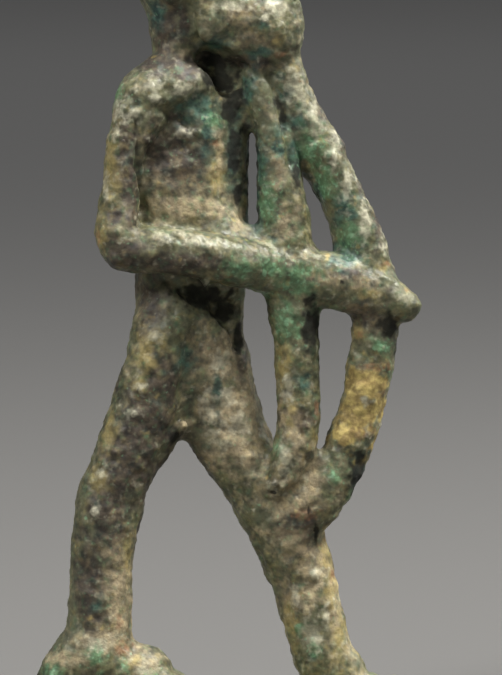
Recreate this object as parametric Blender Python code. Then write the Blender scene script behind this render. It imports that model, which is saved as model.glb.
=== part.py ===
"""A small cast bronze of a monkey archer on a low base, modelled as the one casting it is.

The wax model behind such a bronze was made of rolled rods and lumps pressed together, so each
rod is lofted here through a few stations, and all of them are then fused into one closed solid.
Sizes are in millimetres until they reach Blender. +X is the way the archer shoots, +Z is up,
and the side that the archer shows to a viewer faces -Y. The origin is under the base's middle.
"""

import math

import bmesh
import bpy
from mathutils import Matrix, Vector

MM = 0.001

# Levels of the whole figure, measured up from the ground.
BASE_TOP = 1.8
KNEE_Z = 20.2
HIP_Z = 39.5
GRIP_Z = 43.6
SHOULDER_Z = 62.8
CROWN_Z = 79.2

# How thick the rolled rods of wax are, as radii seen from the side.
BOW_R = 2.1
UPPER_ARM_R = 1.8
FOREARM_R = 2.4
SHIN_R = 3.1
THIGH_R = 3.5

# How far each leg stands from the figure's middle plane, the near one towards the viewer.
NEAR_LEG_Y = -2.4
FAR_LEG_Y = 1.7

# The low base that the feet are cast on.
BASE_LENGTH = 41.2
BASE_WIDTH = 17.0
BASE_CORNER = 5.0
BASE_EDGE = 0.7

# How the rods are fused, and how fine the finished solid is.
FUSE_VOXEL = 0.36
SOFTEN_PASSES = 5
FACETS_KEPT = 0.078
RING_SIDES = 20
STEPS_PER_SPAN = 5
DOME_ANGLES = (25, 50, 72)


def clear_scene():
    for obj in list(bpy.data.objects):
        bpy.data.objects.remove(obj)


def bronze():
    """Dark patinated bronze."""
    material = bpy.data.materials.new("patinated_bronze")
    material.use_nodes = True
    shader = material.node_tree.nodes["Principled BSDF"]
    shader.inputs["Base Color"].default_value = (0.13, 0.14, 0.10, 1.0)
    shader.inputs["Metallic"].default_value = 0.35
    shader.inputs["Roughness"].default_value = 0.55
    return material


def station(x, y, z, side, depth=None, turn=0.0):
    """A place on a rod: its centre, half its width seen from the side, half its depth, its turn."""
    return [x, y, z, side, side if depth is None else depth, turn]


def between(values, share):
    """The Catmull-Rom curve through four values, between the middle two."""
    before, start, end, after = values
    return 0.5 * (
        2 * start
        + (end - before) * share
        + (2 * before - 5 * start + 4 * end - after) * share**2
        + (3 * start - before - 3 * end + after) * share**3
    )


def along_smooth_curve(stations):
    """The stations, with more of them between on one smooth curve."""
    padded = [stations[0], *stations, stations[-1]]
    fine = []
    for i in range(len(stations) - 1):
        around = padded[i : i + 4]
        for step in range(STEPS_PER_SPAN):
            share = step / STEPS_PER_SPAN
            fine.append([between(values, share) for values in zip(*around)])
    fine.append(list(stations[-1]))
    return fine


def dome(end, inner):
    """Shrinking stations that round off a rod past its end."""
    out = (Vector(end[:3]) - Vector(inner[:3])).normalized()
    stations = []
    for degrees in DOME_ANGLES:
        angle = math.radians(degrees)
        centre = Vector(end[:3]) + out * end[3] * math.sin(angle)
        thin = math.cos(angle)
        stations.append([*centre, end[3] * thin, end[4] * thin, end[5]])
    return stations


def rounded(value, squareness):
    """A sine or cosine bent so that 2 gives an oval ring, and more gives a squarer one."""
    return math.copysign(abs(value) ** (2 / squareness), value)


def rod(bm, stations, squareness=2.0):
    """Lofts a rod through the stations, round at both ends."""
    fine = along_smooth_curve(stations)
    fine = dome(fine[0], fine[1])[::-1] + fine + dome(fine[-1], fine[-2])
    across = Vector((0, 1, 0))
    rings = []
    for i, (x, y, z, side, depth, turn) in enumerate(fine):
        ahead = Vector(fine[min(i + 1, len(fine) - 1)][:3])
        behind = Vector(fine[max(i - 1, 0)][:3])
        along = (ahead - behind).normalized()
        flat = along.cross(across).normalized()
        deep = flat.cross(along)
        spin = Matrix.Rotation(math.radians(turn), 3, along)
        ring = []
        for k in range(RING_SIDES):
            angle = 2 * math.pi * k / RING_SIDES
            wide = side * rounded(math.cos(angle), squareness)
            thick = depth * rounded(math.sin(angle), squareness)
            ring.append(bm.verts.new(Vector((x, y, z)) + spin @ (flat * wide + deep * thick)))
        rings.append(ring)
    skin(bm, rings)


def skin(bm, rings):
    """Joins rings of equal count into one closed surface."""
    count = len(rings[0])
    for low, high in zip(rings, rings[1:]):
        for k in range(count):
            after = (k + 1) % count
            bm.faces.new((low[k], low[after], high[after], high[k]))
    bm.faces.new(rings[0][::-1])
    bm.faces.new(rings[-1])


def lump(bm, centre, radii, lean=0.0, yaw=0.0):
    """Adds an oval lump of wax. A positive lean tips its top towards +X, and yaw turns it about Z."""
    turn = Matrix.Rotation(math.radians(yaw), 4, "Z") @ Matrix.Rotation(math.radians(lean), 4, "Y")
    place = Matrix.Translation(centre) @ turn @ Matrix.Diagonal((*radii, 1.0))
    bmesh.ops.create_uvsphere(bm, u_segments=24, v_segments=14, radius=1.0, matrix=place)


def trunk(bm):
    """The body: a flat slab of a chest on a rounder core, under the yoke of the shoulders."""
    core = [
        station(-4.8, 0.2, HIP_Z - 4.0, 4.7, 3.3, turn=8),
        station(-4.7, 0.2, HIP_Z, 5.4, 3.3, turn=8),
        station(-4.5, 0.3, HIP_Z + 5.5, 5.6, 3.1, turn=4),
        station(-4.45, 0.4, HIP_Z + 12.0, 5.75, 2.9),
        station(-4.45, 0.4, HIP_Z + 18.0, 5.75, 2.9),
        station(-4.4, 0.4, SHOULDER_Z - 1.6, 5.85, 2.9),
    ]
    rod(bm, core, squareness=2.3)
    chest = [
        station(-5.5, -1.2, GRIP_Z + 1.5, 4.2, 2.0),
        station(-6.0, -1.4, GRIP_Z + 6.0, 4.65, 2.1),
        station(-6.1, -1.5, GRIP_Z + 10.0, 4.6, 2.1),
        station(-6.1, -1.5, GRIP_Z + 14.0, 4.55, 2.0),
        station(-6.0, -1.5, SHOULDER_Z - 2.4, 4.5, 1.9),
    ]
    rod(bm, chest, squareness=2.8)
    collar_bone = [
        station(-8.6, -2.6, SHOULDER_Z + 0.1, 3.0, 2.9),
        station(-6.3, -2.3, SHOULDER_Z + 0.9, 2.5, 2.5),
        station(-4.3, -1.8, SHOULDER_Z + 1.2, 2.1, 2.3),
    ]
    rod(bm, collar_bone)
    nape = [
        station(-7.4, -1.6, SHOULDER_Z + 1.6, 2.7, 2.7),
        station(-5.0, 0.0, SHOULDER_Z + 0.6, 2.7, 2.9),
        station(-1.1, 2.1, SHOULDER_Z + 0.4, 2.6, 2.4),
    ]
    rod(bm, nape)
    # The shoulder blades, then the seat.
    lump(bm, (-3.0, 1.6, SHOULDER_Z - 2.8), (3.4, 2.2, 3.4), lean=20, yaw=10)
    lump(bm, (-7.2, 0.9, SHOULDER_Z - 3.2), (2.8, 2.3, 3.6), lean=-14)
    lump(bm, (-7.0, 0.0, HIP_Z - 1.4), (3.5, 3.4, 5.2), lean=12)
    lump(bm, (-3.2, 1.3, HIP_Z - 1.0), (3.8, 3.3, 5.6), lean=-10)


def neck(bm):
    """The neck, which thickens into the mane at the back of the head."""
    rod(
        bm,
        [
            station(-5.6, -0.2, SHOULDER_Z + 1.0, 2.6, 3.0),
            station(-5.9, -0.2, SHOULDER_Z + 3.9, 2.45, 3.0),
            station(-6.2, -0.1, SHOULDER_Z + 6.9, 2.4, 3.2),
            station(-6.9, 0.0, SHOULDER_Z + 9.4, 2.5, 3.4),
            station(-7.4, 0.0, SHOULDER_Z + 11.4, 2.9, 3.4),
        ],
    )


def head(bm):
    """A low skull, a heavy brow and a long blunt muzzle, held down over the bow's tip."""
    muzzle_r = 4.4
    brow_r = 0.9
    lump(bm, (-4.7, 0.0, CROWN_Z - 5.1), (4.9, 4.5, 5.1))
    muzzle = [
        station(-3.4, 0.0, CROWN_Z - 7.6, muzzle_r, 3.9),
        station(-0.4, 0.0, CROWN_Z - 8.6, muzzle_r, 3.5),
        station(2.6, 0.0, CROWN_Z - 9.6, muzzle_r, 3.4),
    ]
    rod(bm, muzzle)
    # The throat, the blunt end of the muzzle with its lips, and the forehead.
    lump(bm, (-2.2, 0.9, CROWN_Z - 13.2), (2.4, 1.7, 1.9))
    lump(bm, (4.0, 0.0, CROWN_Z - 10.6), (2.85, 3.0, 3.4))
    lump(bm, (-2.9, 0.0, CROWN_Z - 4.0), (3.1, 3.6, 2.5), lean=22)
    for side in (-1, 1):
        brow = [
            station(-2.5, side * 3.6, CROWN_Z - 4.1, brow_r * 0.8),
            station(-0.7, side * 2.6, CROWN_Z - 3.1, brow_r),
            station(-0.1, side * 0.4, CROWN_Z - 3.7, brow_r),
        ]
        rod(bm, brow)
        # An eye, an ear, a cheek, and a wing of the nose.
        lump(bm, (-0.9, side * 3.0, CROWN_Z - 5.1), (0.95, 0.75, 0.8))
        lump(bm, (-6.4, side * 4.3, CROWN_Z - 5.4), (1.3, 0.8, 1.7), yaw=side * 18)
        lump(bm, (-2.4, side * 2.8, CROWN_Z - 8.4), (2.6, 1.5, 2.9))
        lump(bm, (5.0, side * 1.1, CROWN_Z - 6.9), (1.2, 0.95, 0.9))


def drawing_arm(bm):
    """The near arm: down the back edge of the body, then forward across it and past the bow."""
    elbow_z = GRIP_Z + 4.2
    upper_arm = [
        station(-9.0, -2.7, SHOULDER_Z - 0.4, 3.2, 2.9),
        station(-10.2, -3.4, SHOULDER_Z - 3.4, 2.45, 2.4),
        station(-11.1, -3.8, SHOULDER_Z - 6.0, UPPER_ARM_R + 0.15, 2.2),
        station(-11.4, -4.1, SHOULDER_Z - 9.2, UPPER_ARM_R + 0.1, 2.1),
        station(-11.6, -4.4, elbow_z + 3.8, UPPER_ARM_R + 0.2, 2.2),
        station(-11.8, -4.7, elbow_z + 1.6, 2.3, 2.4),
        station(-11.4, -4.9, elbow_z, 2.4, 2.4),
    ]
    rod(bm, upper_arm)
    forearm = [
        station(-11.1, -4.9, elbow_z - 0.2, 2.25, 2.4),
        station(-7.6, -5.2, GRIP_Z + 3.8, FOREARM_R, 2.4),
        station(-3.6, -5.0, GRIP_Z + 3.4, FOREARM_R + 0.1, 2.4),
        station(0.4, -3.6, GRIP_Z + 2.5, FOREARM_R + 0.1, 2.3),
        station(4.4, -2.2, GRIP_Z + 1.7, FOREARM_R + 0.15, 2.2),
        station(8.2, -1.6, GRIP_Z + 1.0, FOREARM_R + 0.3, 2.3),
        station(11.4, -1.2, GRIP_Z, FOREARM_R + 0.45, 2.3),
        station(14.4, -0.8, GRIP_Z - 0.9, 2.35, 2.1),
        station(16.9, -0.6, GRIP_Z - 1.9, 1.7, 1.8),
    ]
    rod(bm, forearm)


def bow_arm(bm):
    """The far arm, from the raised shoulder behind the string and down the back of the bow."""
    rod(
        bm,
        [
            station(-0.9, 2.4, SHOULDER_Z + 0.8, 2.5, 2.3),
            station(1.7, 2.6, SHOULDER_Z + 0.6, UPPER_ARM_R + 0.2, 2.0),
            station(4.6, 2.2, SHOULDER_Z - 2.2, UPPER_ARM_R + 0.2, 1.9),
            station(6.9, 1.7, SHOULDER_Z - 5.4, UPPER_ARM_R + 0.2, 1.9),
            station(9.2, 1.2, SHOULDER_Z - 8.9, UPPER_ARM_R + 0.05, 1.9),
            station(11.2, 0.9, SHOULDER_Z - 12.4, UPPER_ARM_R + 0.2, 1.9),
            station(11.9, 0.8, SHOULDER_Z - 14.2, 2.5, 2.0),
            station(12.8, 0.6, SHOULDER_Z - 16.8, 2.8, 2.1),
            station(14.0, 0.5, GRIP_Z - 0.4, 2.4, 2.2),
        ],
    )


def bowstring(bm):
    """The string, as thick as the bow, from the chin to where it laps over the knee."""
    rod(
        bm,
        [
            station(2.0, -0.5, CROWN_Z - 14.0, BOW_R - 0.6, 1.7),
            station(2.9, -0.7, CROWN_Z - 17.6, BOW_R - 0.4, 1.8),
            station(3.9, -0.9, CROWN_Z - 21.6, BOW_R - 0.2, 1.9),
            station(4.5, -1.1, CROWN_Z - 26.0, BOW_R + 0.3, 2.0),
            station(5.0, -1.3, GRIP_Z + 4.5, BOW_R + 0.65, 2.2),
            station(5.6, -1.3, GRIP_Z - 0.6, BOW_R + 0.7, 2.3),
            station(6.0, -1.2, GRIP_Z - 5.4, BOW_R + 0.25, 2.1),
            station(6.25, -1.1, GRIP_Z - 11.4, BOW_R + 0.15, 1.9),
            station(6.2, -1.2, KNEE_Z + 9.0, BOW_R + 0.1, 1.8),
            station(5.5, -1.6, KNEE_Z + 6.4, BOW_R - 0.1, 1.6),
            station(3.9, -1.9, KNEE_Z + 3.4, BOW_R - 0.9, 1.2),
        ],
    )


def bow_stave(bm):
    """The stave, a shallow D from under the muzzle, past the grip, to the front knee."""
    rod(
        bm,
        [
            station(5.0, 0.0, CROWN_Z - 13.0, BOW_R - 0.5, 1.7),
            station(5.7, 0.0, CROWN_Z - 16.2, BOW_R - 0.25, 1.8),
            station(7.5, 0.0, CROWN_Z - 20.0, BOW_R - 0.1, 1.9),
            station(9.1, 0.0, CROWN_Z - 22.6, BOW_R - 0.05, 1.9),
            station(10.9, 0.0, CROWN_Z - 27.2, BOW_R - 0.05, 1.9),
            station(12.7, 0.0, GRIP_Z + 4.5, BOW_R + 0.1, 2.0),
            station(13.7, 0.0, GRIP_Z - 0.5, BOW_R + 0.25, 2.1),
            station(13.8, 0.0, GRIP_Z - 5.5, BOW_R + 0.25, 2.0),
            station(13.25, 0.0, GRIP_Z - 9.2, BOW_R + 0.3, 2.0),
            station(12.5, 0.0, GRIP_Z - 12.2, BOW_R + 0.3, 2.0),
            station(11.35, 0.0, KNEE_Z + 8.0, BOW_R + 0.3, 1.95),
            station(10.0, 0.0, KNEE_Z + 4.6, BOW_R + 0.35, 1.95),
            station(8.1, 0.0, KNEE_Z + 1.6, BOW_R + 0.35, 2.0),
            station(5.8, 0.2, KNEE_Z - 0.2, BOW_R + 0.1, 2.0),
        ],
    )


def webs(bm):
    """The thin metal that fills the narrow corners between rods."""
    over_the_knee = [
        station(8.3, -0.6, KNEE_Z + 6.0, 1.05, 0.8),
        station(7.6, -0.7, KNEE_Z + 3.9, 2.0, 1.0),
        station(6.0, -0.6, KNEE_Z + 1.4, 2.4, 1.5),
    ]
    rod(bm, over_the_knee)
    belly_to_forearm = [
        station(-3.2, -1.6, GRIP_Z + 9.6, 1.4, 1.7),
        station(-2.2, -1.9, GRIP_Z + 6.8, 2.2, 1.8),
        station(-0.5, -2.4, GRIP_Z + 4.0, 2.2, 1.8),
    ]
    rod(bm, belly_to_forearm)
    string_to_belly = [
        station(-0.6, -1.6, GRIP_Z + 5.2, 1.5, 1.5),
        station(1.3, -1.6, GRIP_Z + 4.8, 1.5, 1.5),
        station(3.4, -1.2, GRIP_Z + 4.2, 1.6, 1.4),
    ]
    rod(bm, string_to_belly)
    string_to_hand = [
        station(6.0, -0.9, GRIP_Z + 5.2, 1.0, 1.3),
        station(7.0, -1.3, GRIP_Z + 3.4, 1.3, 1.6),
    ]
    rod(bm, string_to_hand)
    # The fork of the legs, an arch between a fillet on each thigh.
    lump(bm, (-5.3, -0.4, HIP_Z - 7.4), (3.3, 1.9, 4.0))
    lump(bm, (-7.4, -1.6, HIP_Z - 11.5), (1.4, 2.0, 3.6), lean=30)
    lump(bm, (-3.6, 0.9, HIP_Z - 11.3), (1.3, 2.2, 3.4), lean=-28)


def back_leg(bm):
    """The near leg, trailing, with a slight bend at the knee."""
    y = NEAR_LEG_Y
    rod(
        bm,
        [
            station(-6.3, y + 2.0, HIP_Z + 6.0, 2.0, 2.0),
            station(-6.9, y + 1.0, HIP_Z + 1.2, THIGH_R - 0.3, 3.0),
            station(-7.9, y + 0.3, HIP_Z - 3.6, THIGH_R - 0.25, 3.2),
            station(-9.2, y + 0.1, HIP_Z - 7.8, THIGH_R - 0.2, 3.1),
            station(-10.8, y, HIP_Z - 12.6, THIGH_R - 0.2, 3.1),
            station(-12.35, y, KNEE_Z + 3.0, THIGH_R - 0.1, 3.0),
            station(-13.05, y, KNEE_Z - 0.8, SHIN_R + 0.25, 2.95),
            station(-13.5, y, KNEE_Z - 5.5, SHIN_R + 0.05, 2.8),
            station(-13.6, y, BASE_TOP + 8.9, SHIN_R + 0.1, 2.8),
            station(-13.6, y, BASE_TOP + 6.4, 3.45, 3.0),
            station(-13.4, y, BASE_TOP + 4.0, 4.2, 3.3),
        ],
    )


def front_leg(bm):
    """The far leg, striding forward under the end of the bow."""
    y = FAR_LEG_Y
    rod(
        bm,
        [
            station(-4.4, y - 1.1, HIP_Z + 5.0, 2.2, 2.2),
            station(-3.1, y - 0.8, HIP_Z + 0.6, THIGH_R, 3.2),
            station(-2.1, y - 0.6, HIP_Z - 4.4, THIGH_R + 0.2, 3.4),
            station(-1.2, y - 0.4, HIP_Z - 8.6, THIGH_R + 0.25, 3.4),
            station(0.2, y - 0.3, HIP_Z - 12.4, THIGH_R + 0.15, 3.2),
            station(2.4, y - 0.4, KNEE_Z + 3.2, THIGH_R + 0.1, 3.1),
            station(4.5, y - 0.4, KNEE_Z, THIGH_R + 0.4, 3.1),
            station(5.4, y - 0.3, KNEE_Z - 2.4, THIGH_R + 0.25, 3.0),
            station(6.1, y - 0.2, KNEE_Z - 4.2, SHIN_R + 0.4, 2.9),
            station(6.9, y - 0.1, KNEE_Z - 6.4, SHIN_R + 0.15, 2.8),
            station(7.5, y - 0.1, KNEE_Z - 9.2, SHIN_R + 0.1, 2.8),
            station(8.0, y, BASE_TOP + 7.0, SHIN_R, 2.8),
            station(8.7, y, BASE_TOP + 4.8, SHIN_R, 2.8),
            station(9.9, y, BASE_TOP + 3.0, SHIN_R, 2.9),
        ],
    )


def toes(bm, back, tip, y, height):
    """Four rolled toes side by side, from the instep down to the base."""
    count = 4
    longest = 1.3
    toe_r = 0.84
    for k in range(count):
        side = y + (k - (count - 1) / 2) * 1.75 * toe_r
        reach = tip - toe_r - 0.4 * abs(k - longest)
        toe = [
            station(back, side, BASE_TOP + height - toe_r, toe_r),
            station(0.45 * back + 0.55 * reach, side, BASE_TOP + 0.7 * height, toe_r),
            station(reach, side, BASE_TOP + 0.6, toe_r),
        ]
        rod(bm, toe)


def near_foot(bm):
    """The back foot: a heel that flares from the shin, a round instep and short toes."""
    y = NEAR_LEG_Y
    heel = [
        station(-14.5, y, BASE_TOP + 6.6, 2.7, 2.8),
        station(-16.1, y, BASE_TOP + 4.5, 2.55, 2.9),
        station(-17.7, y, BASE_TOP + 2.3, 2.5, 2.8),
    ]
    rod(bm, heel)
    instep = [
        station(-17.0, y, BASE_TOP + 1.7, 2.3, 2.8),
        station(-13.2, y, BASE_TOP + 2.9, 3.2, 3.1),
        station(-9.3, y, BASE_TOP + 3.3, 3.0, 3.2),
    ]
    rod(bm, instep)
    ball = [
        station(-11.0, y, BASE_TOP + 1.4, 1.7, 3.1),
        station(-6.6, y, BASE_TOP + 1.1, 1.5, 3.1),
    ]
    rod(bm, ball, squareness=2.4)
    toes(bm, -8.4, -2.7, y, 3.6)


def far_foot(bm):
    """The front foot, longer and flatter."""
    y = FAR_LEG_Y
    sole = [
        station(8.6, y, BASE_TOP + 0.9, 1.5, 2.5),
        station(11.6, y, BASE_TOP + 1.1, 2.1, 2.9),
        station(14.2, y, BASE_TOP + 0.7, 1.7, 3.1),
        station(15.4, y, BASE_TOP + 0.5, 1.4, 3.1),
    ]
    rod(bm, sole)
    toes(bm, 13.6, 19.9, y, 2.2)


def base(bm):
    """The low base: a slab with round corners and a worn edge, run on below the ground."""
    below_ground = 1.2
    corner_steps = 6
    worn_steps = 4
    profile = [(0.0, -below_ground)]
    for step in range(worn_steps + 1):
        angle = math.radians(90 * step / worn_steps)
        inset = BASE_EDGE * (1 - math.cos(angle))
        profile.append((inset, BASE_TOP - BASE_EDGE * (1 - math.sin(angle))))
    rings = []
    for inset, level in profile:
        ring = []
        for sign_x, sign_y, first in ((1, 1, 0), (-1, 1, 90), (-1, -1, 180), (1, -1, 270)):
            for step in range(corner_steps + 1):
                angle = math.radians(first + 90 * step / corner_steps)
                x = sign_x * (BASE_LENGTH / 2 - BASE_CORNER) + (BASE_CORNER - inset) * math.cos(angle)
                y = sign_y * (BASE_WIDTH / 2 - BASE_CORNER) + (BASE_CORNER - inset) * math.sin(angle)
                ring.append(bm.verts.new((x, y, level)))
        rings.append(ring)
    skin(bm, rings)


def ground_cutter():
    """A block whose top face is the ground. It cuts the base off flat."""
    margin = 20.0
    thick = 10.0
    bm = bmesh.new()
    size = Matrix.Diagonal((BASE_LENGTH + margin, BASE_WIDTH + margin, thick, 1.0))
    place = Matrix.Scale(MM, 4) @ Matrix.Translation((0, 0, -thick / 2)) @ size
    bmesh.ops.create_cube(bm, size=1.0, matrix=place)
    mesh = bpy.data.meshes.new("ground_cutter")
    bm.to_mesh(mesh)
    bm.free()
    cutter = bpy.data.objects.new("ground_cutter", mesh)
    bpy.context.scene.collection.objects.link(cutter)
    cutter.hide_render = True
    cutter.display_type = "WIRE"
    return cutter


def figurine():
    """All the rods and lumps, still separate, in one mesh."""
    bm = bmesh.new()
    trunk(bm)
    neck(bm)
    head(bm)
    back_leg(bm)
    front_leg(bm)
    near_foot(bm)
    far_foot(bm)
    base(bm)
    drawing_arm(bm)
    bow_arm(bm)
    bowstring(bm)
    bow_stave(bm)
    webs(bm)
    bmesh.ops.recalc_face_normals(bm, faces=bm.faces)
    bmesh.ops.scale(bm, vec=(MM, MM, MM), verts=bm.verts)
    mesh = bpy.data.meshes.new("monkey_archer")
    bm.to_mesh(mesh)
    bm.free()
    mesh.shade_smooth()
    mesh.materials.append(bronze())
    obj = bpy.data.objects.new("monkey_archer", mesh)
    bpy.context.scene.collection.objects.link(obj)
    return obj


def cast_in_one(obj, cutter):
    """Fuses the rods into one solid, softens the joins, thins the facets and cuts it at the ground."""
    fuse = obj.modifiers.new("fuse the rods", "REMESH")
    fuse.mode = "VOXEL"
    fuse.voxel_size = FUSE_VOXEL * MM
    soften = obj.modifiers.new("soften the joins", "SMOOTH")
    soften.factor = 0.5
    soften.iterations = SOFTEN_PASSES
    thin = obj.modifiers.new("fewer facets", "DECIMATE")
    thin.ratio = FACETS_KEPT
    cut = obj.modifiers.new("flat underside", "BOOLEAN")
    cut.operation = "DIFFERENCE"
    cut.object = cutter
    cut.solver = "EXACT"


clear_scene()
cast_in_one(figurine(), ground_cutter())
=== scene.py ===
import math

import bpy
import numpy as np
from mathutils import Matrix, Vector


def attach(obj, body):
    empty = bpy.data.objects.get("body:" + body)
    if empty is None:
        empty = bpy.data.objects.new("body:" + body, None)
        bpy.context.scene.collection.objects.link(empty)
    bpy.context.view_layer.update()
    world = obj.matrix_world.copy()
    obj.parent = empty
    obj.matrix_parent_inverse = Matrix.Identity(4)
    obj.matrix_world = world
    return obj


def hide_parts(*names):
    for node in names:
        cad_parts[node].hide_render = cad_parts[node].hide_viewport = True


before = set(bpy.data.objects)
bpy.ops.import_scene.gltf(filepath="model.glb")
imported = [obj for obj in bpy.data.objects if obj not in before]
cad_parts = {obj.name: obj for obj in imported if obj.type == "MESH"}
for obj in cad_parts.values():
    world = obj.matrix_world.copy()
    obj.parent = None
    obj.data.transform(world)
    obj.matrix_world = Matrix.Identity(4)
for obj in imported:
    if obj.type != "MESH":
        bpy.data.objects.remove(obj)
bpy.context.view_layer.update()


# The wax model
# The figure was built in wax from rolled rods, and its face, hands and toes were pinched and
# pricked into shape with a point. The rods come from the frame, and the small pieces of wax
# that a modeller adds last are pressed on here.

MM = 0.001
# How fine the skin is made, and how many triangles it keeps.
SKIN_VOXEL = 0.23 * MM
SKIN_TRIANGLES = 196000

bpy.ops.object.select_all(action="DESELECT")
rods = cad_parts["monkey_archer"]
casting = rods.copy()
casting.data = rods.data.copy()
casting.parent = None
casting.name = "archer_casting"
casting.data.name = "archer_casting"
# The frame's own marks stay off the copy.
for mark in [key for key in casting.keys() if key.startswith("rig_")]:
    del casting[mark]
bpy.context.scene.collection.objects.link(casting)


def pick_up(piece):
    """Selects one piece alone and makes it the active one."""
    bpy.ops.object.select_all(action="DESELECT")
    piece.select_set(True)
    bpy.context.view_layer.objects.active = piece


def put_on(piece, kind, name, **settings):
    """Adds a modifier to a piece and applies it at once."""
    pick_up(piece)
    modifier = piece.modifiers.new(name, kind)
    for setting, value in settings.items():
        setattr(modifier, setting, value)
    bpy.ops.object.modifier_apply(modifier=modifier.name)


pick_up(casting)
bpy.ops.object.mode_set(mode="EDIT")
bpy.ops.mesh.select_all(action="SELECT")
bpy.ops.mesh.remove_doubles(threshold=0.001 * MM)
bpy.ops.object.mode_set(mode="OBJECT")
put_on(casting, "SUBSURF", "round the facets", levels=2, render_levels=2)

added_wax = []


def press_on(place, radii, lean=0.0, yaw=0.0):
    """Presses an oval lump of wax on the figure, with sizes in mm and turns in degrees."""
    bpy.ops.object.select_all(action="DESELECT")
    bpy.ops.mesh.primitive_uv_sphere_add(segments=24, ring_count=14, radius=MM)
    lump = bpy.context.active_object
    lump.scale = radii
    lump.rotation_euler = (0.0, math.radians(lean), math.radians(yaw))
    lump.location = Vector(place) * MM
    bpy.ops.object.transform_apply(location=True, rotation=True, scale=True)
    added_wax.append(lump)


# The nodule of bronze in the fork of the legs, and the nub under the forearm.
press_on((-5.2, -3.15, 29.8), (0.45, 0.85, 0.55))
press_on((-3.2, -4.9, 44.4), (0.34, 0.7, 0.8), lean=-12)

pick_up(casting)
for lump in added_wax:
    lump.select_set(True)
bpy.ops.object.join()
put_on(casting, "REMESH", "one skin", mode="VOXEL", voxel_size=SKIN_VOXEL)
put_on(casting, "SMOOTH", "thumbed smooth", factor=0.5, iterations=10)


# The cast skin
# Bronze takes the wax model's surface, and long burial then blisters and pits it. Marks of the
# modeller's tool are pressed in first, then broad lumps and small blisters cover the skin.

def points_of(piece):
    """Where a piece's points are, in metres."""
    flat = np.empty(len(piece.data.vertices) * 3)
    piece.data.vertices.foreach_get("co", flat)
    return flat.reshape(-1, 3)


def normals_of(piece):
    """The way a piece's surface faces at each of its points."""
    flat = np.empty(len(piece.data.vertices) * 3)
    piece.data.vertex_normals.foreach_get("vector", flat)
    return flat.reshape(-1, 3)


def put_points(piece, places):
    """Moves a piece's points to new places."""
    piece.data.vertices.foreach_set("co", places.ravel())
    piece.data.update()


def keep_layer(piece, name, values):
    """Keeps a number for each point of a piece, for its material to read."""
    layer = piece.data.attributes.new(name, "FLOAT", "POINT")
    layer.data.foreach_set("value", values.astype(np.float32))


# How far off a tool's line, in mm, skin still counts as under it, and a margin that always
# takes in the nearest point.
UNDER_TOOL = 0.35
HAIR = 0.01


def nearest_skin(skin, x, z, side=-1):
    """The point of the skin at x and z, in mm, that is nearest to a viewer on the -Y or +Y side."""
    away = np.hypot(skin[:, 0] - x, skin[:, 2] - z)
    close = skin[away < max(UNDER_TOOL, away.min() + HAIR)]
    return close[np.argmin(-side * close[:, 1])]


def soft_edge(away, reach):
    """1 where a tool is pressed, fading to 0 at its reach."""
    share = np.clip(1.0 - away / reach, 0.0, 1.0)
    return share * share * (3.0 - 2.0 * share)


def raise_skin(skin, height):
    """Moves each point of the skin out by its height in mm."""
    put_points(casting, (skin + normals_of(casting) * height[:, None]) * MM)


def press_in(path, reach, depth):
    """Draws a tool along points given as (x, z), and presses the near skin in. All is in mm."""
    skin = points_of(casting) / MM
    near = [nearest_skin(skin, x, z) for x, z in path]
    away = np.full(len(skin), np.inf)
    for start, end in zip(near, near[1:]):
        run = end - start
        share = np.clip((skin - start) @ run / (run @ run), 0.0, 1.0)
        away = np.minimum(away, np.linalg.norm(skin - start - share[:, None] * run, axis=1))
    raise_skin(skin, -depth * soft_edge(away, reach))


# The groove between the near arm and the body, and the hollow of the throat.
press_in([(-9.6, 60.5), (-9.4, 56.0), (-9.2, 51.5), (-9.2, 50.2)], 0.8, 0.5)
press_in([(-2.8, 66.0), (-1.8, 65.3), (-0.9, 64.6), (-0.5, 63.9)], 1.7, 2.4)
# The jaw, which a depth below zero fills out, then its edge, the cheek and the mouth's corner.
press_in([(-3.6, 68.6), (-2.0, 67.8), (-0.4, 67.2)], 0.9, -0.3)
press_in([(0.6, 65.4), (2.0, 65.0), (3.4, 65.0)], 0.7, 0.3)
press_in([(-4.9, 72.5), (-4.6, 69.9), (-3.9, 68.0)], 0.8, 0.4)
press_in([(4.0, 67.2), (5.0, 66.9), (6.2, 67.1)], 0.4, 0.22)
# The crease between bowstring and stave.
press_in([(3.5, 64.8), (4.8, 61.6), (5.3, 58.6), (5.9, 56.0)], 0.75, 0.5)
# Dents in the chest.
press_in([(-7.0, 61.3), (-5.8, 60.4), (-4.6, 60.0)], 1.0, 0.35)
press_in([(-6.4, 57.6), (-5.0, 57.8)], 0.7, 0.3)
# The hollow under the forearm, which the near hip rises from.
press_in([(-4.6, 43.6), (-2.2, 42.4), (-0.2, 41.2)], 1.9, 0.9)
press_in([(-1.6, 41.4), (0.0, 39.2), (0.6, 37.8)], 1.3, 0.8)
# The valley between the thighs.
press_in([(-4.4, 38.2), (-4.8, 35.6), (-5.2, 33.0)], 1.2, 0.15)
# The fold where the string laps over the knee, and the pits at its end.
press_in([(6.9, 29.2), (6.5, 26.8), (5.7, 25.0), (4.9, 24.0)], 0.55, 0.22)
press_in([(3.2, 22.8), (3.9, 23.3)], 0.5, 0.3)
press_in([(7.0, 21.1), (7.5, 21.8)], 0.5, 0.3)

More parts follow.
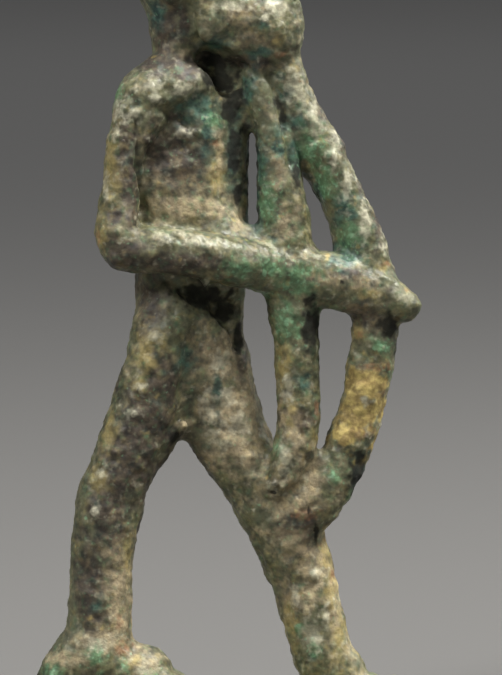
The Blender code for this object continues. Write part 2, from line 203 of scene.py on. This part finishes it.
# The largest bumps and dents, as (x, z, reach, height) in mm. A dent's height is below zero.
NEAR_BUMPS = [
    # Forearm and elbow
    (-7.3, 48.9, 0.9, 0.28), (-5.6, 49.5, 0.8, 0.25), (-3.9, 48.3, 0.9, 0.28),
    (-2.4, 48.1, 0.9, 0.25), (-6.5, 47.5, 1.1, -0.15), (-4.7, 46.9, 1.0, -0.12),
    (-12.1, 49.5, 0.8, 0.28), (-12.2, 46.3, 1.0, 0.30), (-11.0, 47.8, 1.0, -0.15),
    (-8.7, 46.6, 1.1, 0.25), (1.0, 46.2, 0.9, 0.20), (-0.6, 45.4, 1.0, -0.12),
    # Shoulder and upper arm
    (-8.3, 63.9, 1.1, 0.30), (-7.9, 62.5, 0.8, 0.22), (-4.8, 63.2, 1.2, 0.28),
    (-6.6, 63.2, 1.0, -0.15), (-11.4, 61.7, 0.8, 0.25), (-10.0, 60.9, 0.9, 0.28),
    (-11.9, 59.0, 0.8, 0.25), (-12.1, 55.0, 0.8, 0.20), (-12.4, 52.6, 0.8, 0.20),
    (-11.2, 57.2, 1.1, -0.15), (-11.6, 50.9, 1.1, -0.12),
    # Chest
    (-5.1, 59.0, 0.8, 0.28), (-5.4, 57.6, 0.9, -0.15), (-6.0, 54.6, 1.5, -0.12),
    (-4.4, 55.8, 1.0, 0.20),
    # Thighs
    (-8.1, 38.9, 0.9, 0.28), (-8.9, 36.4, 1.1, 0.32), (-9.6, 33.7, 0.8, 0.28),
    (-10.3, 31.2, 0.8, 0.28), (-11.8, 29.4, 0.8, 0.22), (-12.4, 27.2, 0.8, 0.25),
    (-8.6, 34.8, 1.0, -0.17), (-8.8, 32.4, 1.1, -0.15), (-10.8, 28.2, 1.1, -0.12),
    (-2.9, 32.2, 1.3, 0.40), (-2.4, 30.4, 1.2, 0.40), (-2.2, 28.7, 0.8, 0.25),
    (-1.2, 27.9, 0.7, 0.28), (0.4, 30.4, 1.2, 0.20), (1.9, 26.8, 0.9, 0.25),
    (-1.5, 31.4, 1.0, -0.17), (-0.8, 26.8, 1.1, -0.15), (0.6, 34.4, 1.0, -0.09),
    # Knees and shins
    (-13.5, 25.1, 0.8, 0.30), (-14.2, 21.4, 0.8, 0.25), (-9.9, 24.0, 0.6, 0.22),
    (-13.2, 17.6, 1.2, -0.13), (-13.7, 12.4, 0.6, 0.20), (3.5, 23.9, 0.6, 0.40),
    (2.8, 22.6, 0.4, 0.18), (8.1, 14.7, 0.8, 0.38), (5.8, 12.0, 0.8, 0.28), (9.0, 10.3, 0.9, 0.32),
    (7.6, 13.5, 1.0, -0.19), (7.1, 11.4, 1.0, -0.15), (8.5, 8.9, 1.0, -0.15),
    (6.4, 13.9, 0.9, -0.12), (7.6, 7.6, 0.9, 0.22), (5.2, 16.4, 1.1, -0.13),
    # Bow and bowstring
    (9.9, 23.8, 0.9, 0.25), (8.0, 60.2, 0.8, 0.20), (9.8, 56.8, 0.9, 0.20), (7.2, 58.2, 1.1, -0.12),
    (9.0, 53.8, 1.1, -0.12), (5.0, 39.6, 0.9, 0.20), (5.2, 34.8, 1.1, -0.12),
    (2.8, 53.4, 0.9, 0.15),
]
# The eyes, ears and nostrils, pricked with a point.
FACE_DENTS = [(-0.6, 74.1, 0.5, -0.35), (-6.4, 73.8, 0.8, -0.35), (6.1, 72.3, 0.45, -0.35)]


def knead(bumps, side):
    """Raises bumps and sinks dents on the -Y or +Y side."""
    skin = points_of(casting) / MM
    rise = np.zeros(len(skin))
    for x, z, reach, height in bumps:
        away = np.linalg.norm(skin - nearest_skin(skin, x, z, side), axis=1)
        rise += height * soft_edge(away, reach)
    raise_skin(skin, rise)


knead(NEAR_BUMPS, -1)
knead(FACE_DENTS, -1)
knead(FACE_DENTS, 1)

even_skin = points_of(casting)
even_normals = normals_of(casting)


def roughen(name, kind, size, height, **settings):
    """Raises and sinks the skin by a noise of one size, both in mm."""
    texture = bpy.data.textures.new(name, kind)
    texture.noise_scale = size * MM
    for setting, value in settings.items():
        setattr(texture, setting, value)
    put_on(
        casting, "DISPLACE", name,
        texture=texture, texture_coords="LOCAL", strength=height * MM, mid_level=0.5,
    )


roughen("broad lumps", "CLOUDS", 2.6, 0.50, noise_depth=1)
roughen("dents", "CLOUDS", 1.0, 0.25, noise_depth=1)
roughen("blisters", "CLOUDS", 0.5, 0.09, noise_depth=1)

# The base stays flat underneath.
places = points_of(casting)
places[:, 2] = np.maximum(places[:, 2], 0.0)
put_points(casting, places)
# The patina needs to know how far each point was raised, because wear rubs the high spots.
relief = ((places - even_skin) * even_normals).sum(axis=1) / MM
keep_layer(casting, "relief", relief)
triangles = sum(len(face.vertices) - 2 for face in casting.data.polygons)
if triangles > SKIN_TRIANGLES:
    put_on(casting, "DECIMATE", "within the limit", ratio=SKIN_TRIANGLES / triangles)
pick_up(casting)
bpy.ops.object.shade_smooth()


# The crust
# Each mineral of the crust, and each patch of earth or bare metal, lies where the burial left
# it. Beside them, painted shade is dabbed near black into the throat, the creases and the
# hollows under the forearm and hand, some brown dabs are painted shade on shaded sides, and
# pale dabs add painted highlights to the wear on lit edges. They are dabbed on the skin by
# place, each dab as (x, z, wide, high) in mm, and the patina reads them.

# So many passes of smoothing level a groove and leave a limb.
LEVELLING = 40


def hollows(piece):
    """How far each point lies below the skin around it, in mm, at the size of a groove."""
    pick_up(piece)
    bpy.ops.object.duplicate()
    even = bpy.context.active_object
    put_on(even, "SMOOTH", "even out", factor=1.0, iterations=LEVELLING)
    depth = ((points_of(even) - points_of(piece)) * normals_of(even)).sum(axis=1) / MM
    bpy.data.objects.remove(even)
    return depth


keep_layer(casting, "hollow", hollows(casting))

skin = points_of(casting) / MM
NEAR_DABS = {
    "teal": [
        (-3.6, 61.4, 2.2, 1.6), (1.2, 63.4, 0.7, 1.8), (2.3, 55.4, 0.8, 3.6), (1.8, 50.4, 1.0, 1.6),
        (4.9, 62.6, 0.7, 1.0), (6.0, 60.2, 1.3, 1.0), (11.2, 47.0, 1.8, 1.4), (6.8, 34.4, 0.9, 0.9),
        (-5.2, 36.6, 0.7, 1.4), (-0.2, 57.0, 0.7, 4.4), (12.4, 24.6, 0.8, 2.6),
        (-13.6, 12.4, 0.6, 0.8), (7.8, 6.6, 0.6, 0.8), (2.4, 69.6, 0.9, 0.5),
        (-1.9, 67.9, 1.1, 0.8), (2.2, 67.0, 1.5, 0.6), (5.9, 56.6, 0.7, 2.0), (8.2, 53.0, 0.7, 1.4),
        (10.8, 51.6, 1.0, 1.8), (-8.0, 70.8, 0.8, 1.8), (-1.8, 33.4, 0.4, 2.4),
        (-2.9, 58.6, 0.8, 1.8), (4.2, 57.8, 0.6, 1.8),
    ],
    "green": [
        (-2.2, 60.4, 0.9, 0.8), (6.4, 45.2, 1.6, 0.7), (3.4, 45.6, 1.4, 1.0), (5.0, 40.2, 1.3, 1.9),
        (9.9, 24.8, 0.8, 0.8), (-13.8, 7.2, 1.0, 1.0), (-11.2, 6.0, 0.6, 0.7),
        (-18.4, 5.4, 1.2, 0.8), (6.3, 9.2, 0.6, 0.6), (7.8, 7.2, 0.6, 0.8), (7.6, 57.4, 1.3, 1.8),
        (3.2, 52.0, 0.9, 2.4), (-12.2, 63.0, 0.9, 1.6), (0.6, 45.6, 1.6, 1.0),
        (9.0, 54.0, 1.0, 1.6), (14.6, 37.8, 1.0, 0.8), (4.2, 27.6, 0.6, 0.8),
        (11.4, 48.8, 1.2, 1.4), (-8.4, 4.6, 1.0, 0.8), (6.2, 43.8, 2.0, 0.8),
    ],
    "sand": [
        (-5.0, 51.5, 4.2, 1.2), (0.2, 50.2, 1.0, 1.2), (6.0, 29.6, 1.0, 2.0), (7.2, 24.6, 1.2, 2.2),
        (9.8, 12.0, 0.8, 4.6), (-11.5, 12.8, 1.3, 4.8), (-13.0, 8.6, 2.8, 1.2),
        (-8.6, 5.6, 1.6, 1.4), (-17.0, 6.6, 2.4, 0.8), (1.2, 32.0, 1.0, 3.0), (0.4, 27.6, 2.4, 2.6),
        (4.6, 18.6, 2.2, 1.0), (-1.7, 56.6, 0.45, 2.8), (-2.0, 35.8, 1.2, 1.8),
        (8.6, 15.6, 0.7, 2.2), (7.4, 12.6, 0.9, 1.8), (5.4, 21.8, 2.2, 0.9), (4.6, 50.2, 1.0, 1.2),
        (-0.4, 31.4, 1.4, 2.0), (-5.25, 29.8, 0.7, 0.7), (-1.6, 37.2, 1.2, 1.6),
    ],
    "ochre": [
        (4.0, 68.1, 0.6, 0.4), (-12.3, 55.6, 0.9, 3.4), (-13.4, 49.4, 0.6, 1.6),
        (-8.8, 37.4, 1.3, 2.0), (-9.6, 34.0, 0.9, 1.0), (4.8, 35.8, 0.8, 2.2),
        (5.6, 31.2, 0.6, 1.4), (-10.8, 17.4, 0.5, 2.2), (5.4, 10.2, 0.7, 2.6),
        (9.0, 17.4, 0.7, 2.6), (9.6, 13.2, 0.6, 2.2), (-1.8, 54.8, 0.8, 1.4),
        (12.2, 39.2, 0.7, 0.6), (-12.6, 29.0, 0.8, 2.0), (14.9, 45.8, 0.5, 0.5),
        (13.4, 43.0, 1.0, 0.5), (-13.6, 24.4, 0.9, 1.4), (10.4, 8.0, 0.8, 3.0),
        (-10.2, 6.4, 1.2, 0.6),
    ],
    # Pale wear on raised spots, and painted highlights: the lit band on the shoulder, the top of
    # the forearm, the line down the stave, the muzzle and glints on the thigh and shins.
    "pale": [
        (-8.2, 63.8, 1.0, 0.9), (-7.9, 62.5, 0.7, 0.5), (-5.0, 63.3, 1.4, 0.7),
        (-9.8, 60.9, 0.9, 0.5), (-11.6, 61.4, 0.6, 1.2), (-11.9, 59.0, 0.5, 0.7),
        (-5.2, 59.0, 0.8, 0.5), (-12.9, 53.8, 0.3, 1.4), (6.0, 63.0, 1.2, 1.6),
        (8.0, 59.6, 0.7, 1.2), (16.8, 42.6, 0.8, 0.4), (4.2, 71.2, 1.2, 0.8), (3.0, 70.5, 0.5, 0.4),
        (-0.4, 71.6, 1.6, 0.5), (-7.3, 48.9, 1.0, 0.6), (-5.5, 49.4, 0.8, 0.5),
        (-3.9, 48.4, 0.9, 0.6), (-2.3, 48.1, 1.0, 0.5), (-2.8, 31.8, 0.8, 1.6),
        (-2.4, 30.4, 0.6, 0.8), (-2.2, 28.7, 0.6, 0.7), (-1.2, 27.9, 0.7, 0.5),
        (-8.1, 38.9, 0.5, 0.6), (-9.6, 33.8, 0.5, 0.6), (-10.3, 31.2, 0.7, 0.5),
        (-13.5, 25.1, 0.6, 0.7), (-14.1, 21.4, 0.5, 0.6), (-9.8, 24.0, 0.4, 0.3),
        (8.1, 14.8, 0.7, 0.6), (5.9, 12.1, 0.45, 1.3), (9.0, 10.3, 0.5, 0.9), (3.4, 24.0, 0.4, 0.3),
        (4.9, 26.6, 0.7, 2.2), (3.5, 23.6, 0.4, 0.4), (12.8, 31.6, 0.5, 2.2),
        (-13.8, 8.2, 1.6, 0.7), (-9.0, 5.8, 1.0, 0.8), (0.0, 29.8, 1.2, 1.4), (7.6, 8.8, 0.9, 1.6),
        (-2.9, 44.2, 0.3, 0.4), (-1.6, 36.2, 0.9, 1.2), (-1.0, 32.6, 0.8, 1.2),
        (4.8, 5.2, 1.4, 1.0), (5.9, 63.8, 0.6, 1.5), (7.7, 60.8, 0.5, 1.8), (9.7, 57.4, 0.5, 1.9),
        (11.1, 53.8, 0.5, 1.9), (12.8, 49.8, 0.5, 2.2), (5.2, 33.6, 0.5, 1.6),
    ],
    "earth": [
        (-5.6, 54.0, 3.0, 1.6), (-9.4, 41.6, 0.6, 3.2), (-0.8, 36.8, 1.6, 2.6),
        (5.4, 23.0, 3.0, 2.2), (4.6, 31.0, 1.0, 3.0), (4.2, 55.0, 0.5, 2.6), (8.4, 44.4, 2.2, 0.7),
        (-12.4, 14.6, 1.2, 4.0), (6.6, 16.6, 1.8, 2.4), (12.4, 41.4, 1.8, 1.0),
        (12.0, 44.2, 1.6, 0.8), (-3.4, 37.0, 1.8, 2.4), (-2.9, 31.8, 1.2, 2.6),
        (-0.6, 31.2, 2.0, 2.6), (2.0, 68.2, 2.8, 0.6), (0.4, 70.8, 2.2, 0.9), (5.6, 12.0, 1.4, 3.0),
        (-3.0, 26.0, 1.6, 1.6),
    ],
    "bare": [(13.0, 34.0, 2.6, 1.9), (12.2, 31.0, 2.4, 1.9), (10.9, 28.8, 1.7, 1.1)],
    "rust": [
        (14.2, 35.6, 2.0, 0.5), (12.4, 38.9, 0.6, 0.5), (12.6, 29.2, 1.4, 0.8),
        (7.0, 20.8, 1.2, 0.7), (4.6, 66.8, 1.0, 0.5), (8.1, 31.2, 0.4, 1.0),
        (-11.6, 10.2, 0.4, 1.0), (-11.3, 7.8, 0.8, 1.3), (-11.9, 61.0, 0.3, 0.7),
        (9.7, 14.6, 0.4, 0.7), (-13.6, 48.6, 0.3, 1.0), (15.0, 45.9, 0.5, 0.4),
        (-2.0, 58.0, 0.5, 0.5), (13.0, 34.0, 0.8, 0.6),
    ],
    # Brown patina, and brown painted as shade on the shaded right edge of the stave, the shaded
    # right half of the near arm and under the hand.
    "brown": [
        (-8.6, 31.0, 2.6, 3.2), (-10.4, 26.4, 2.8, 4.0), (-10.4, 25.4, 1.6, 2.6),
        (-12.6, 20.8, 1.4, 2.4), (-12.4, 21.6, 2.0, 4.0), (-14.5, 14.2, 1.4, 4.6),
        (-8.4, 41.8, 1.4, 2.4), (-5.8, 56.8, 3.2, 2.8), (-11.4, 47.0, 1.9, 1.8),
        (6.2, 19.6, 2.2, 1.4), (12.6, 40.8, 1.9, 1.0), (-7.2, 34.4, 1.6, 2.4),
        (6.6, 30.0, 0.7, 1.2), (-5.2, 69.6, 0.5, 2.2), (8.7, 61.8, 0.5, 1.6),
        (10.8, 58.4, 0.6, 1.8), (12.7, 54.4, 0.6, 2.0), (14.2, 50.2, 0.5, 2.0),
        (-6.9, 69.6, 1.4, 2.6), (-10.4, 50.8, 0.7, 1.4), (-12.0, 51.0, 0.7, 1.0),
        (-4.6, 56.4, 1.2, 2.0), (11.6, 45.0, 1.4, 0.5), (-10.6, 53.4, 0.8, 2.4),
        (-10.8, 56.8, 1.0, 3.6), (-8.3, 57.2, 0.8, 3.0), (-6.3, 60.6, 0.7, 0.4),
        (-6.0, 46.2, 4.4, 1.1), (-5.2, 65.6, 2.4, 1.2), (-12.4, 46.0, 1.0, 1.0),
        (-7.6, 70.4, 0.9, 2.0), (0.6, 36.4, 0.5, 2.4), (1.2, 65.9, 2.6, 0.8),
        (-5.6, 28.6, 1.4, 1.2), (-7.4, 65.8, 2.4, 0.8),
    ],
    # Painted shade, near black: the throat, the crease between string and stave, the hollow under
    # the forearm, under the hand, down the shaded sides of string and stave, and in pits.
    "painted_shade": [
        (-2.0, 65.6, 1.7, 1.3), (-1.1, 64.3, 1.8, 1.5), (-0.4, 62.4, 1.1, 1.8),
        (-2.6, 64.6, 0.6, 1.1), (-0.2, 57.4, 0.7, 4.0), (0.2, 53.0, 0.6, 1.2),
        (-3.6, 42.7, 3.0, 1.2), (-1.2, 41.0, 1.3, 1.3), (0.2, 38.2, 0.5, 1.6),
        (7.5, 39.8, 1.0, 2.8), (15.0, 39.8, 1.1, 1.2), (4.1, 62.0, 0.4, 0.9),
        (4.8, 60.4, 0.45, 1.1), (-0.7, 61.4, 0.8, 1.4), (6.1, 54.9, 0.5, 1.5),
        (12.2, 24.4, 0.9, 2.6), (8.0, 18.8, 0.25, 1.2), (-6.1, 28.8, 0.5, 0.7),
        (3.7, 23.1, 0.3, 0.15), (7.3, 21.3, 0.2, 0.5), (10.4, 44.2, 0.5, 0.3),
    ],
}
# How deep a dab reaches in from its side, in mm, and how quickly it fades outwards.
DAB_DEPTH = 3.0
DAB_FADE = 0.8
# The far side takes the same dabs, moved by this much in x and z, in mm, and at this strength.
TO_FAR_SIDE = (1.9, -2.6)
FAR_SHARE = 0.8


def dab(x, z, wide, high, side):
    """How much of a dab each point gets. It is placed in mm on the -Y or +Y side."""
    centre = nearest_skin(skin, x, z, side)
    away = np.sqrt(
        ((skin[:, 0] - x) / wide) ** 2
        + ((skin[:, 2] - z) / high) ** 2
        + ((skin[:, 1] - centre[1]) / DAB_DEPTH) ** 2
    )
    return np.exp(-DAB_FADE * away * away)


for layer_name, dabs in NEAR_DABS.items():
    amount = np.zeros(len(skin))
    for x, z, wide, high in dabs:
        amount = np.maximum(amount, dab(x, z, wide, high, -1))
        beyond = dab(x + TO_FAR_SIDE[0], z + TO_FAR_SIDE[1], wide, high, 1)
        amount = np.maximum(amount, FAR_SHARE * beyond)
    keep_layer(casting, layer_name, amount)


# The patina
# Buried bronze turns to brown and olive, then green and teal in patches, with earth in the
# hollows, and it stays bare and golden where the crust has come away. Over that, near black is
# painted into the shade dabs as painted shade and into the deep grooves as dirt with painted
# shade, and pale painted highlights go on lit edges beside the wear.

class Wire:
    """A shader socket that takes part in sums, so that 1 - mask adds the nodes that work it out."""

    def __init__(self, socket):
        self.socket = socket

    def node(self, kind, settings, sockets, output=0):
        """Adds a node of a kind, sets it up, feeds its sockets, and gives one of its outputs."""
        tree = self.socket.id_data
        made = tree.nodes.new(kind)
        for setting, value in settings.items():
            setattr(made, setting, value)
        for name, value in sockets.items():
            if isinstance(name, int):
                end = made.inputs[name]
            else:
                end = next(s for s in made.inputs if s.name == name and s.enabled)
            if isinstance(value, Wire):
                tree.links.new(value.socket, end)
            else:
                end.default_value = value
        return Wire([s for s in made.outputs if s.enabled][output])

    def sum(self, operation, first, second):
        """Adds a Math node for one operation on two numbers."""
        return self.node("ShaderNodeMath", {"operation": operation}, {0: first, 1: second})

    def __add__(self, other):
        return self.sum("ADD", self, other)

    __radd__ = __add__

    def __sub__(self, other):
        return self.sum("SUBTRACT", self, other)

    def __rsub__(self, other):
        return self.sum("SUBTRACT", other, self)

    def __mul__(self, other):
        return self.sum("MULTIPLY", self, other)

    __rmul__ = __mul__

    def step(self, low, high):
        """0 below low and 1 above high, with a soft step between."""
        return self.node(
            "ShaderNodeMapRange",
            {"interpolation_type": "SMOOTHSTEP"},
            {"Value": self, "From Min": low, "From Max": high},
        )

    def noise(self, size, detail=2.0, roughness=0.5, shift=0.0):
        """A cloudy noise whose clouds are about size mm across, from 0 to 1."""
        moved = self.node("ShaderNodeVectorMath", {"operation": "ADD"}, {0: self, 1: (shift,) * 3})
        return self.node(
            "ShaderNodeTexNoise",
            {},
            {"Vector": moved, "Scale": 1.0 / (size * MM), "Detail": detail, "Roughness": roughness},
        )

    def layer(self, name):
        """A number kept for each point of the piece."""
        return self.node("ShaderNodeAttribute", {"attribute_name": name}, {}, output=2)

    def blend(self, low, high):
        """Goes from the low colour to the high one as this number goes from 0 to 1."""
        return self.node(
            "ShaderNodeMix", {"data_type": "RGBA"}, {"Factor": self, "A": low, "B": high}
        )

    def scaled(self, amount):
        """This colour, darker or lighter by a number that changes over the surface."""
        return self.node("ShaderNodeVectorMath", {"operation": "SCALE"}, {0: self, "Scale": amount})

    def into(self, shader, name):
        """Feeds this into a shader's socket."""
        self.socket.id_data.links.new(self.socket, shader.inputs[name])


NEAR_BLACK = (0.014, 0.014, 0.010, 1.0)
DARK_OLIVE = (0.044, 0.048, 0.027, 1.0)
OLIVE = (0.162, 0.160, 0.076, 1.0)
GREY_OLIVE = (0.110, 0.119, 0.075, 1.0)
BROWN = (0.062, 0.044, 0.032, 1.0)
DARK_BROWN = (0.026, 0.020, 0.018, 1.0)
TEAL = (0.042, 0.125, 0.098, 1.0)
DEEP_TEAL = (0.010, 0.040, 0.036, 1.0)
GREEN = (0.095, 0.200, 0.095, 1.0)
BRIGHT_GREEN = (0.19, 0.37, 0.21, 1.0)
PALE = (0.50, 0.48, 0.355, 1.0)
EARTH = (0.270, 0.205, 0.118, 1.0)
GREY_EARTH = (0.120, 0.105, 0.076, 1.0)
SAND = (0.47, 0.385, 0.235, 1.0)
DARK_SAND = (0.31, 0.250, 0.155, 1.0)
OCHRE = (0.35, 0.280, 0.105, 1.0)
RUST = (0.27, 0.125, 0.060, 1.0)
GOLD = (0.47, 0.365, 0.125, 1.0)
DARK_GOLD = (0.31, 0.225, 0.080, 1.0)
DIRT_AND_SHADE_BLACK = (0.011, 0.011, 0.008, 1.0)

patina = bpy.data.materials.new("patina")
patina.use_nodes = True
nodes = patina.node_tree.nodes
shader = nodes["Principled BSDF"]
spot = Wire(nodes.new("ShaderNodeTexCoord").outputs["Object"])

broad = spot.noise(3.6)
middle = spot.noise(1.3, shift=0.011)
small = spot.noise(0.6, shift=0.023)
fine = spot.noise(0.28, shift=0.031)
grain = spot.noise(0.13, shift=0.041)


def crust(name, size, shift, rare=0.52, soft=0.50, gain=0.50):
    """Where one layer lies (a mineral, the pale of wear and painted highlights, the painted shade):
    specks of a size in mm all over, which crowd together where it was dabbed. A higher rare
    leaves fewer specks, a higher soft blurs their edges, and a higher gain makes the dabs count
    for more.
    """
    return (spot.noise(size, 1.6, 0.5, shift) + spot.layer(name) * gain).step(rare, rare + soft)


skin_height = spot.layer("relief") + (small - 0.5) * 0.4 + (fine - 0.5) * 0.15
low_spots = (0.0 - skin_height).step(0.0, 0.40)
high_spots = skin_height.step(0.0, 0.20)
mottle = broad * 0.35 + middle * 0.40 + small * 0.25
speckle = middle * 0.4 + small * 0.6

skin_colour = mottle.step(0.34, 0.66).blend(DARK_OLIVE, OLIVE)
skin_colour = (broad.step(0.45, 0.62) * 0.6).blend(skin_colour, GREY_OLIVE)
# Brown patina, partly brown painted as shade on shaded sides.
brown_colour = speckle.step(0.34, 0.66).blend(DARK_BROWN, BROWN)
browned = crust("brown", 1.5, 0.101, 0.46, 0.54, 0.64)
skin_colour = (browned * 0.9).blend(skin_colour, brown_colour)
# Other minerals hardly settle on the brown.
unbrowned = 1.0 - browned * 0.5
earth_colour = speckle.step(0.32, 0.66).blend(GREY_EARTH, EARTH)
earthy = crust("earth", 1.3, 0.113, 0.48, 0.58) * unbrowned
skin_colour = (earthy * 0.8).blend(skin_colour, earth_colour)
sand_colour = speckle.step(0.32, 0.68).blend(DARK_SAND, SAND)
sandy = crust("sand", 1.1, 0.119, 0.50, 0.54) * unbrowned
skin_colour = (sandy * 0.85).blend(skin_colour, sand_colour)
skin_colour = (crust("ochre", 0.9, 0.127) * unbrowned * 0.75).blend(skin_colour, OCHRE)
teal_colour = speckle.step(0.34, 0.66).blend(DEEP_TEAL, TEAL)
skin_colour = (crust("teal", 1.1, 0.139) * 0.8).blend(skin_colour, teal_colour)
skin_colour = (crust("green", 0.8, 0.151) * 0.75).blend(skin_colour, GREEN)
skin_colour = (crust("green", 0.5, 0.163, 0.64, 0.24, 0.22) * 0.6).blend(skin_colour, BRIGHT_GREEN)
skin_colour = (crust("rust", 0.6, 0.177, 0.62) * 0.6).blend(skin_colour, RUST)
bare = crust("bare", 1.2, 0.181, 0.66, 0.26, 0.60)
gold_colour = (middle * 0.5 + speckle * 0.5).step(0.42, 0.58).blend(DARK_GOLD, GOLD)
skin_colour = (bare * 0.85).blend(skin_colour, gold_colour)
# Pale for wear on the high spots and for painted highlights along lit edges.
worn_and_highlit = crust("pale", 0.7, 0.193, 0.56, 0.36, 0.46) * (0.55 + high_spots * 0.45)
skin_colour = (worn_and_highlit * (1.0 - bare) * 0.8).blend(skin_colour, PALE)
skin_colour = (low_spots * 0.3).blend(skin_colour, NEAR_BLACK)
# Near black for painted shade where it was dabbed, and for dirt with painted shade in the deep
# grooves.
painted_shade_mask = crust("painted_shade", 1.0, 0.199, 0.64, 0.34, 0.62)
dirt_and_shade = 1.0 - (1.0 - painted_shade_mask * 0.92) * (1.0 - spot.layer("hollow").step(0.3, 1.05) * 0.7)
skin_colour = dirt_and_shade.blend(skin_colour, DIRT_AND_SHADE_BLACK)
skin_colour = skin_colour.scaled(0.84 + (small * 0.5 + fine * 0.5).step(0.32, 0.68) * 0.32)
skin_colour.into(shader, "Base Color")

# The crusts are duller than the olive skin under them, and the dirt and painted shade are made dull
# so that no sheen lifts them.
dull = browned * 0.12 + earthy * 0.18 + sandy * 0.28 + bare * 0.1 + dirt_and_shade * 0.6
(dull + (small - 0.5) * 0.35 + 0.47).into(shader, "Roughness")
(bare * 0.2 + 0.12).into(shader, "Metallic")
bump = spot.node(
    "ShaderNodeBump", {},
    {
        "Strength": 1.0,
        "Distance": 0.14 * MM,
        "Height": middle * 0.4 + small * 0.4 + (fine * 0.3 + grain * 0.15) * (0.35 + sandy),
    },
)
bump.into(shader, "Normal")

casting.data.materials.clear()
casting.data.materials.append(patina)
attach(casting, "root")
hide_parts("monkey_archer")


# The floor
# A plain floor of pale matt paper that runs so far back that its end is out of sight. It isn't
# part of the figure.

FLOOR_REACH = 12.0

bpy.ops.object.select_all(action="DESELECT")
bpy.ops.mesh.primitive_plane_add(size=2 * FLOOR_REACH)
floor = bpy.context.active_object
floor.name = "floor"
paper = bpy.data.materials.new("pale_paper")
paper.use_nodes = True
matt = paper.node_tree.nodes["Principled BSDF"]
matt.inputs["Base Color"].default_value = (0.113, 0.112, 0.1095, 1.0)
matt.inputs["Roughness"].default_value = 0.9
floor.data.materials.append(paper)


# The light
# One strong soft box high on the right, a weaker one from the left front, and a weak one from
# the right behind, which gives the right edges a rim.

def soft_box(name, azimuth, elevation, distance, width, power, colour):
    """A round area light aimed at the middle of the figure. Azimuth 0 is on the viewer's side."""
    middle_of_figure = Vector((0.0, 0.0, 40 * MM))
    turn, rise = math.radians(azimuth), math.radians(elevation)
    out = Vector((
        math.sin(turn) * math.cos(rise), -math.cos(turn) * math.cos(rise), math.sin(rise)
    ))
    lamp = bpy.data.lights.new(name, "AREA")
    lamp.shape = "DISK"
    lamp.size = width
    lamp.energy = power
    lamp.color = colour
    holder = bpy.data.objects.new(name, lamp)
    holder.location = middle_of_figure + out * distance
    holder.rotation_euler = (-out).to_track_quat("-Z", "Y").to_euler()
    bpy.context.scene.collection.objects.link(holder)
    return holder


soft_box("upper right", 70, 62, 0.8, 0.24, 12.0, (1.0, 0.975, 0.93))
soft_box("left front", -42, 38, 0.8, 0.24, 3.9, (1.0, 0.98, 0.94))
soft_box("right rim", 112, 26, 0.8, 0.20, 1.8, (1.0, 0.98, 0.94))
# A lamp above the far floor, turned straight down, keeps the distance from going black.
far_lamp = soft_box("far floor", 180, 50, 3.9, 1.0, 19.0, (1.0, 1.0, 1.0))
far_lamp.rotation_euler = (0.0, 0.0, 0.0)

# The room's walls are dark and its ceiling is pale.
world = bpy.data.worlds.new("studio")
world.use_nodes = True
room = Wire(world.node_tree.nodes.new("ShaderNodeTexCoord").outputs["Generated"])
height = room.node("ShaderNodeSeparateXYZ", {}, {0: room}, output=2)
ceiling = height.step(-0.1, 0.9).blend((0.05, 0.05, 0.05, 1.0), (0.50, 0.50, 0.50, 1.0))
ceiling.into(world.node_tree.nodes["Background"], "Color")
bpy.context.scene.world = world
bpy.context.scene.view_settings.view_transform = "Standard"


# The camera
# A long lens a little above the figure's middle, on its right side. It takes in 67.5 mm of
# height, which leaves out the crown, the toes and the base.

VIEW_MIDDLE = Vector((1.5, 0.0, 38.45)) * MM
VIEW_HEIGHT = 67.5 * MM
VIEW_DISTANCE = 0.7
VIEW_ELEVATION = 3.5

rise = math.radians(VIEW_ELEVATION)
lens = bpy.data.cameras.new("camera")
lens.sensor_width = 36.0
lens.lens = lens.sensor_width * VIEW_DISTANCE / VIEW_HEIGHT
lens.clip_start = 0.01
lens.clip_end = 100.0
camera = bpy.data.objects.new("camera", lens)
camera.location = VIEW_MIDDLE + VIEW_DISTANCE * Vector((0.0, -math.cos(rise), math.sin(rise)))
camera.rotation_euler = (math.pi / 2 - rise, 0.0, 0.0)
bpy.context.scene.collection.objects.link(camera)
bpy.context.scene.camera = camera
